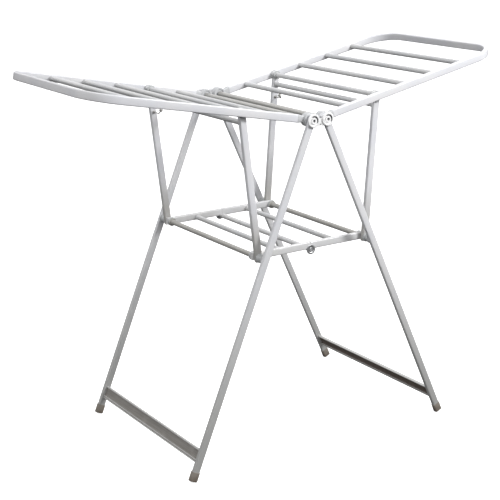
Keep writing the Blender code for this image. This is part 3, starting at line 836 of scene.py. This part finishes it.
def wing_frame(side_name, side):
    """One tube bent round the wing's two rails and its end."""
    node = f"wing_frame_{side_name}"
    lift = -across(WING_LINE)
    start, reach = span(node, HINGE, WING_LINE)
    length = reach - TUBE_THICK / 2
    outer = rounded(TUBE_THICK, 2 * WING_HALF_DEEP)
    inner = inset(outer, TUBE_WALL)
    places = [(start, -WING_PLANE, -math.pi / 2)]
    for i in range(BEND_STEPS + 1):
        angle = math.pi / 2 * (i / BEND_STEPS - 1)
        out = length - WING_CORNER + WING_CORNER * math.cos(angle)
        places.append((out, WING_CORNER * math.sin(angle) - WING_PLANE + WING_CORNER, angle))
    places += [(out, -y, -angle) for out, y, angle in reversed(places)]

    def loop_at(place, outline):
        out, y, angle = place
        ring = []
        for u, v in outline:
            point = HINGE + WING_LINE * (out + u * math.cos(angle)) + lift * v
            ring.append(at(side, point, y + u * math.sin(angle)))
        return ring

    loops = [loop_at(place, outer) for place in places]
    loops += [loop_at(place, inner) for place in reversed(places)]
    finished(skin(f"bent_{node}", loops, True), node, WING_ENAMEL)


def rod(node, side, extra=(), weld=True):
    """A rod rolled from tube. Extra is its outer profile between the middle and its end."""
    place = middle_of(node)
    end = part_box(node)[1].y
    half = list(extra)
    if weld:
        half += [
            (ROD_RADIUS, end - WELD_LENGTH),
            (ROD_RADIUS + WELD_RISE * 0.35, end - WELD_LENGTH * 0.45),
            (ROD_RADIUS + WELD_RISE, end),
        ]
    else:
        half.append((ROD_RADIUS, end))
    half.append((ROD_RADIUS - TUBE_WALL, end))
    name = f"painted_{node}"
    shape = turned(name, side * place.x, place.y, mirrored(half), ROD_SIDES, wrap=True, ease=ROD_EASE)
    finished(shape, node, ROD_ENAMEL)
    return shape


def flange(radius, low, high):
    return [(ROD_RADIUS, low), (radius, low), (radius, high), (ROD_RADIUS, high)]


def spooled_rod(node, side_name, side):
    """The rod that the struts prop, with a flange on either side of each strut."""
    rim = half_height(node)
    y, thick = plane_of(f"strut_{side_name}_far")
    inner = y - thick / 2 - SPOOL_GAP
    outer = y + thick / 2 + SPOOL_GAP
    flanges = flange(rim, inner - SPOOL_THICK, inner) + flange(rim, outer, outer + SPOOL_THICK)
    shape = rod(node, side, flanges)
    shape.data.materials.append(SEAT_GREY)

    def on_flange(polygon):
        out = abs(polygon.center.y)
        return inner - SPOOL_THICK < out < inner or outer < out < outer + SPOOL_THICK

    paint_faces(shape, 1, on_flange)


def wing_rod(side_name, side, number):
    node = f"wing_rod_{side_name}_{number}"
    if number == PROPPED_ROD:
        spooled_rod(node, side_name, side)
    else:
        rod(node, side)


def wing_socket(side_name, side, end_name, end):
    """The barrel on the hinge tube, with a neck that swells to meet the wing's rail."""
    node = f"wing_socket_{side_name}_{end_name}"
    low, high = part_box(node)
    inside = min(abs(low.y), abs(high.y))
    outside = max(abs(low.y), abs(high.y))
    bore = ROD_RADIUS + SHAFT_CLEARANCE
    profile = [
        (bore, inside),
        (GROOVE_INNER, inside),
        (GROOVE_INNER, inside + GROOVE_DEPTH),
        (GROOVE_OUTER, inside + GROOVE_DEPTH),
        (GROOVE_OUTER, inside),
        (CAP_RADIUS - CAP_EASE, inside),
        (CAP_RADIUS, inside + CAP_EASE),
        (CAP_RADIUS, outside),
        (bore, outside),
    ]
    name = f"moulded_{node}"
    centre = (side * HINGE.x, HINGE.y)
    barrel = turned(name, *centre, profile, ROUND_SIDES, end, wrap=True, ease=FINE_EASE)
    neck = rounded(SOCKET_NECK, TUBE_THICK)
    rim = rounded(2 * WING_HALF_DEEP, TUBE_THICK)
    stations = [((bore + CAP_RADIUS) / 2, neck), (CAP_RADIUS, neck)]
    for i in range(1, SWELL_STEPS + 1):
        t = i / SWELL_STEPS
        swell = t * t * (3 - 2 * t)
        blend = [(a[0] + (b[0] - a[0]) * swell, a[1]) for a, b in zip(neck, rim)]
        stations.append((CAP_RADIUS + (SOCKET_REACH - SOCKET_COLLAR - CAP_RADIUS) * t, blend))
    stations += [(SOCKET_REACH - EASE, rim), (SOCKET_REACH, inset(rim, EASE))]
    loops = [
        loop_across(side, HINGE + WING_LINE * out, WING_LINE, end * WING_PLANE, outline)
        for out, outline in stations
    ]
    joined(barrel, skin("neck", loops, False))
    finished(barrel, node, SOCKET_WHITE_IN_SHADE)


def strut(side_name, side, end_name):
    tube_for(f"strut_{side_name}_{end_name}", side, STRUT_LINE, PIVOT, STRUT_ENAMEL)


def strut_seat(side_name, end_name):
    """The saddle keeps its shape from the frame."""
    obj = frame["nodes"][f"strut_seat_{side_name}_{end_name}"]
    obj.data.materials.clear()
    obj.data.materials.append(SEAT_GREY)


def strut_rod(side_name, side):
    """The cross rod between a pair of struts, with tapered bushes at its ends."""
    node = f"strut_rod_{side_name}"
    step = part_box(node)[1].y - BUSH_LENGTH
    rod(node, side, [(ROD_RADIUS, step), (half_height(node), step)], weld=False)


def catch_hook(side_name, side):
    """A bent wire that ends in a ball, turned up and towards the hinge from its rivet plate."""
    node = f"catch_hook_{side_name}"
    low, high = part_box(node)
    upwards = (STRUT_LINE * HOOK_UPTURN - across(STRUT_LINE)).normalized()
    base = span(node, PIVOT, STRUT_LINE)[0] + HOOK_PLATE
    start = PIVOT + STRUT_LINE * base
    bend_y = low.y + HOOK_BALL
    stations = [(0, high.y - depth, 0, radius) for depth, radius in HOOK_RIVET]
    stations.append((0, bend_y + HOOK_BEND, 0, HOOK_WIRE))
    for i in range(1, BEND_STEPS):
        angle = math.pi / 2 * i / BEND_STEPS
        rise = HOOK_BEND * (1 - math.cos(angle))
        stations.append((rise, bend_y + HOOK_BEND * (1 - math.sin(angle)), angle, HOOK_WIRE))
    opening = math.asin(HOOK_WIRE / HOOK_BALL)
    ball_at = HOOK_BEND + HOOK_BALL * math.cos(opening)
    for i in range(BEND_STEPS):
        angle = opening + (math.pi - opening) * i / BEND_STEPS
        rise = ball_at - HOOK_BALL * math.cos(angle)
        stations.append((rise, bend_y, math.pi / 2, HOOK_BALL * math.sin(angle)))
    loops = []
    for rise, y, angle, radius in stations:
        middle = start + upwards * rise
        ring = []
        for i in range(ROD_SIDES // 2):
            turn = 4 * math.pi * i / ROD_SIDES
            flat = radius * math.cos(turn)
            point = middle + upwards * flat * math.cos(angle)
            point += across(upwards) * radius * math.sin(turn)
            ring.append(at(side, point, y + flat * math.sin(angle)))
        loops.append(ring)
    finished(skin(f"bent_{node}", loops, False), node, PIN_STEEL)


def shelf_rail(side_name, side, end_name):
    tube_for(f"shelf_rail_{side_name}_{end_name}", side, LEVEL, RAIL_ORIGIN, SHELF_ENAMEL)


def shelf_end_rod(side_name, side):
    """The rod on the leg's pivot axis, with its collars beside the rails."""
    node = f"shelf_end_rod_{side_name}"
    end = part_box(node)[1].y
    rim = half_height(node)
    y, thick = plane_of(f"shelf_rail_{side_name}_far")
    shoulder = y - thick / 2 - SHAFT_CLEARANCE
    place = middle_of(node)
    half = [
        (ROD_RADIUS, shoulder - COLLAR_LENGTH),
        (rim, shoulder - COLLAR_LENGTH),
        (rim, shoulder),
        (SPIGOT, shoulder),
        (SPIGOT, end),
        (SPIGOT_BORE, end),
    ]
    shape = turned(f"painted_{node}", side * place.x, place.y, mirrored(half), ROD_SIDES, wrap=True)
    finished(shape, node, END_ROD_STEEL, SEAT_GREY)
    paint_faces(shape, 1, lambda polygon: abs(polygon.center.y) > shoulder - COLLAR_LENGTH)


def shelf_hinge_rod():
    """The rod of the shelf's middle hinge, with dished knuckle plates and a rivet outside the rails."""
    node = "shelf_hinge_rod"
    rim = half_height(node)
    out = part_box(node)[1].y
    back = out - KNUCKLE_THICK
    half = [(ROD_RADIUS, back), (rim, back)]
    half += [(rim - inwards, out - depth) for inwards, depth in KNUCKLE_DISH]
    half += [(radius, out - depth) for radius, depth in KNUCKLE_RIVET]
    name = f"riveted_{node}"
    shape = turned(name, MIDDLE.x, MIDDLE.y, mirrored(half), ROUND_SIDES, ease=FINE_EASE)
    finished(shape, node, SHELF_ENAMEL, KNUCKLE_STEEL)
    paint_faces(shape, 1, lambda polygon: abs(polygon.center.y) > back - SAME_FACE)


def rack():
    for end_name, end in ENDS.items():
        link_plate(end_name, end)
    for side_name, side in SIDES.items():
        hinge_tube(side_name, side)
        bottom_bar(side_name, side)
        wing_frame(side_name, side)
        for number in range(1, 6):
            wing_rod(side_name, side, number)
        strut_rod(side_name, side)
        catch_hook(side_name, side)
        shelf_end_rod(side_name, side)
        rod(f"shelf_rod_{side_name}", side)
        for end_name, end in ENDS.items():
            hinge_cap(side_name, side, end_name, end)
            leg(side_name, side, end_name)
            foot(side_name, side, end_name)
            strut_pivot(side_name, side, end_name, end)
            wing_socket(side_name, side, end_name, end)
            strut(side_name, side, end_name)
            strut_seat(side_name, end_name)
            shelf_rail(side_name, side, end_name)
    shelf_hinge_rod()


# ---------------------------------------------------------------- stage


def stage_piece(obj, colour, glow):
    """Part of the white studio: the camera sees it, and the rack takes no light or reflection from it."""
    finish = Finish(obj.name, 0.9, specular=0.1)
    mottle = finish.noise(1.5, 2.0)
    finish.feed("Base Color", finish.mix(mottle, colour, toned(colour, 0.95)))
    finish.shader.inputs["Emission Color"].default_value = (1, 1, 1, 1)
    finish.shader.inputs["Emission Strength"].default_value = glow
    obj.data.materials.append(finish.material)
    obj.visible_diffuse = False
    obj.visible_glossy = False


def studio():
    """A wide white floor, lit from within, under a white dome that casts no shadow."""
    shape = bpy.data.meshes.new("studio_floor")
    shape.from_pydata([(x * STUDIO_REACH, y * STUDIO_REACH, 0) for x, y in CORNERS], [], [(0, 1, 2, 3)])
    floor = bpy.data.objects.new("studio_floor", shape)
    bpy.context.scene.collection.objects.link(floor)
    stage_piece(floor, (0.80, 0.80, 0.80), FLOOR_GLOW)
    turns = [math.radians(turn) for turn in range(0, 360, DOME_TURN)]
    rings = []
    for degrees in DOME_RISES:
        rise = math.radians(degrees)
        flat = STUDIO_REACH * max(math.cos(rise), DOME_TIP)
        z = STUDIO_REACH * math.sin(rise)
        rings.append([Vector((flat * math.cos(turn), flat * math.sin(turn), z)) for turn in turns])
    dome = skin("studio_dome", rings, False)
    dome.visible_shadow = False
    stage_piece(dome, (0.5, 0.5, 0.5), DOME_GLOW)


def soft_box(name, power, place, aim, size):
    """A square soft light at a place, turned towards a point."""
    light = bpy.data.lights.new(name, "AREA")
    light.energy = power
    light.size = size
    obj = bpy.data.objects.new(name, light)
    obj.location = place
    obj.rotation_euler = (Vector(aim) - Vector(place)).to_track_quat("-Z", "Y").to_euler()
    bpy.context.scene.collection.objects.link(obj)


def room_light():
    """Soft light from all round: strongest on the slant, weaker from overhead and faint from below."""
    world = bpy.data.worlds.new("studio")
    bpy.context.scene.world = world
    world.use_nodes = True
    room = Nodes(world.node_tree)
    direction = room.node("ShaderNodeTexCoord", output="Generated")
    upwards = room.node("ShaderNodeSeparateXYZ", {}, {0: direction}, "Z")
    stops = [(position, (grey, grey, grey * SKY_BLUE)) for position, grey in SKY]
    sky = room.node("ShaderNodeValToRGB", {"stops": stops}, {"Fac": upwards * 0.5 + 0.5}, "Color")
    background = room.tree.nodes["Background"]
    background.inputs["Strength"].default_value = SKY_STRENGTH
    room.tree.links.new(sky.socket, background.inputs["Color"])


def camera():
    """Looks along its yaw and pitch, turned a little by its roll."""
    forward = Vector(
        (
            math.sin(CAMERA_YAW) * math.cos(CAMERA_PITCH),
            math.cos(CAMERA_YAW) * math.cos(CAMERA_PITCH),
            -math.sin(CAMERA_PITCH),
        )
    )
    level = Vector((math.cos(CAMERA_YAW), -math.sin(CAMERA_YAW), 0))
    upright = level.cross(forward)
    right = level * math.cos(CAMERA_ROLL) + upright * math.sin(CAMERA_ROLL)
    up = upright * math.cos(CAMERA_ROLL) - level * math.sin(CAMERA_ROLL)
    data = bpy.data.cameras.new("camera")
    data.lens = CAMERA_LENS
    data.sensor_width = CAMERA_FILM
    data.clip_end = CAMERA_SIGHT
    obj = bpy.data.objects.new("camera", data)
    turn = Matrix((right, up, -forward)).transposed().to_4x4()
    obj.matrix_world = Matrix.Translation(CAMERA_PLACE) @ turn
    bpy.context.scene.collection.objects.link(obj)
    bpy.context.scene.camera = obj


rack()
studio()
soft_box("key", power=66, place=(1.5, -2.2, 2.4), aim=(0.1, -0.1, 0.75), size=0.55)
room_light()
camera()
bpy.context.scene.view_settings.view_transform = "Standard"
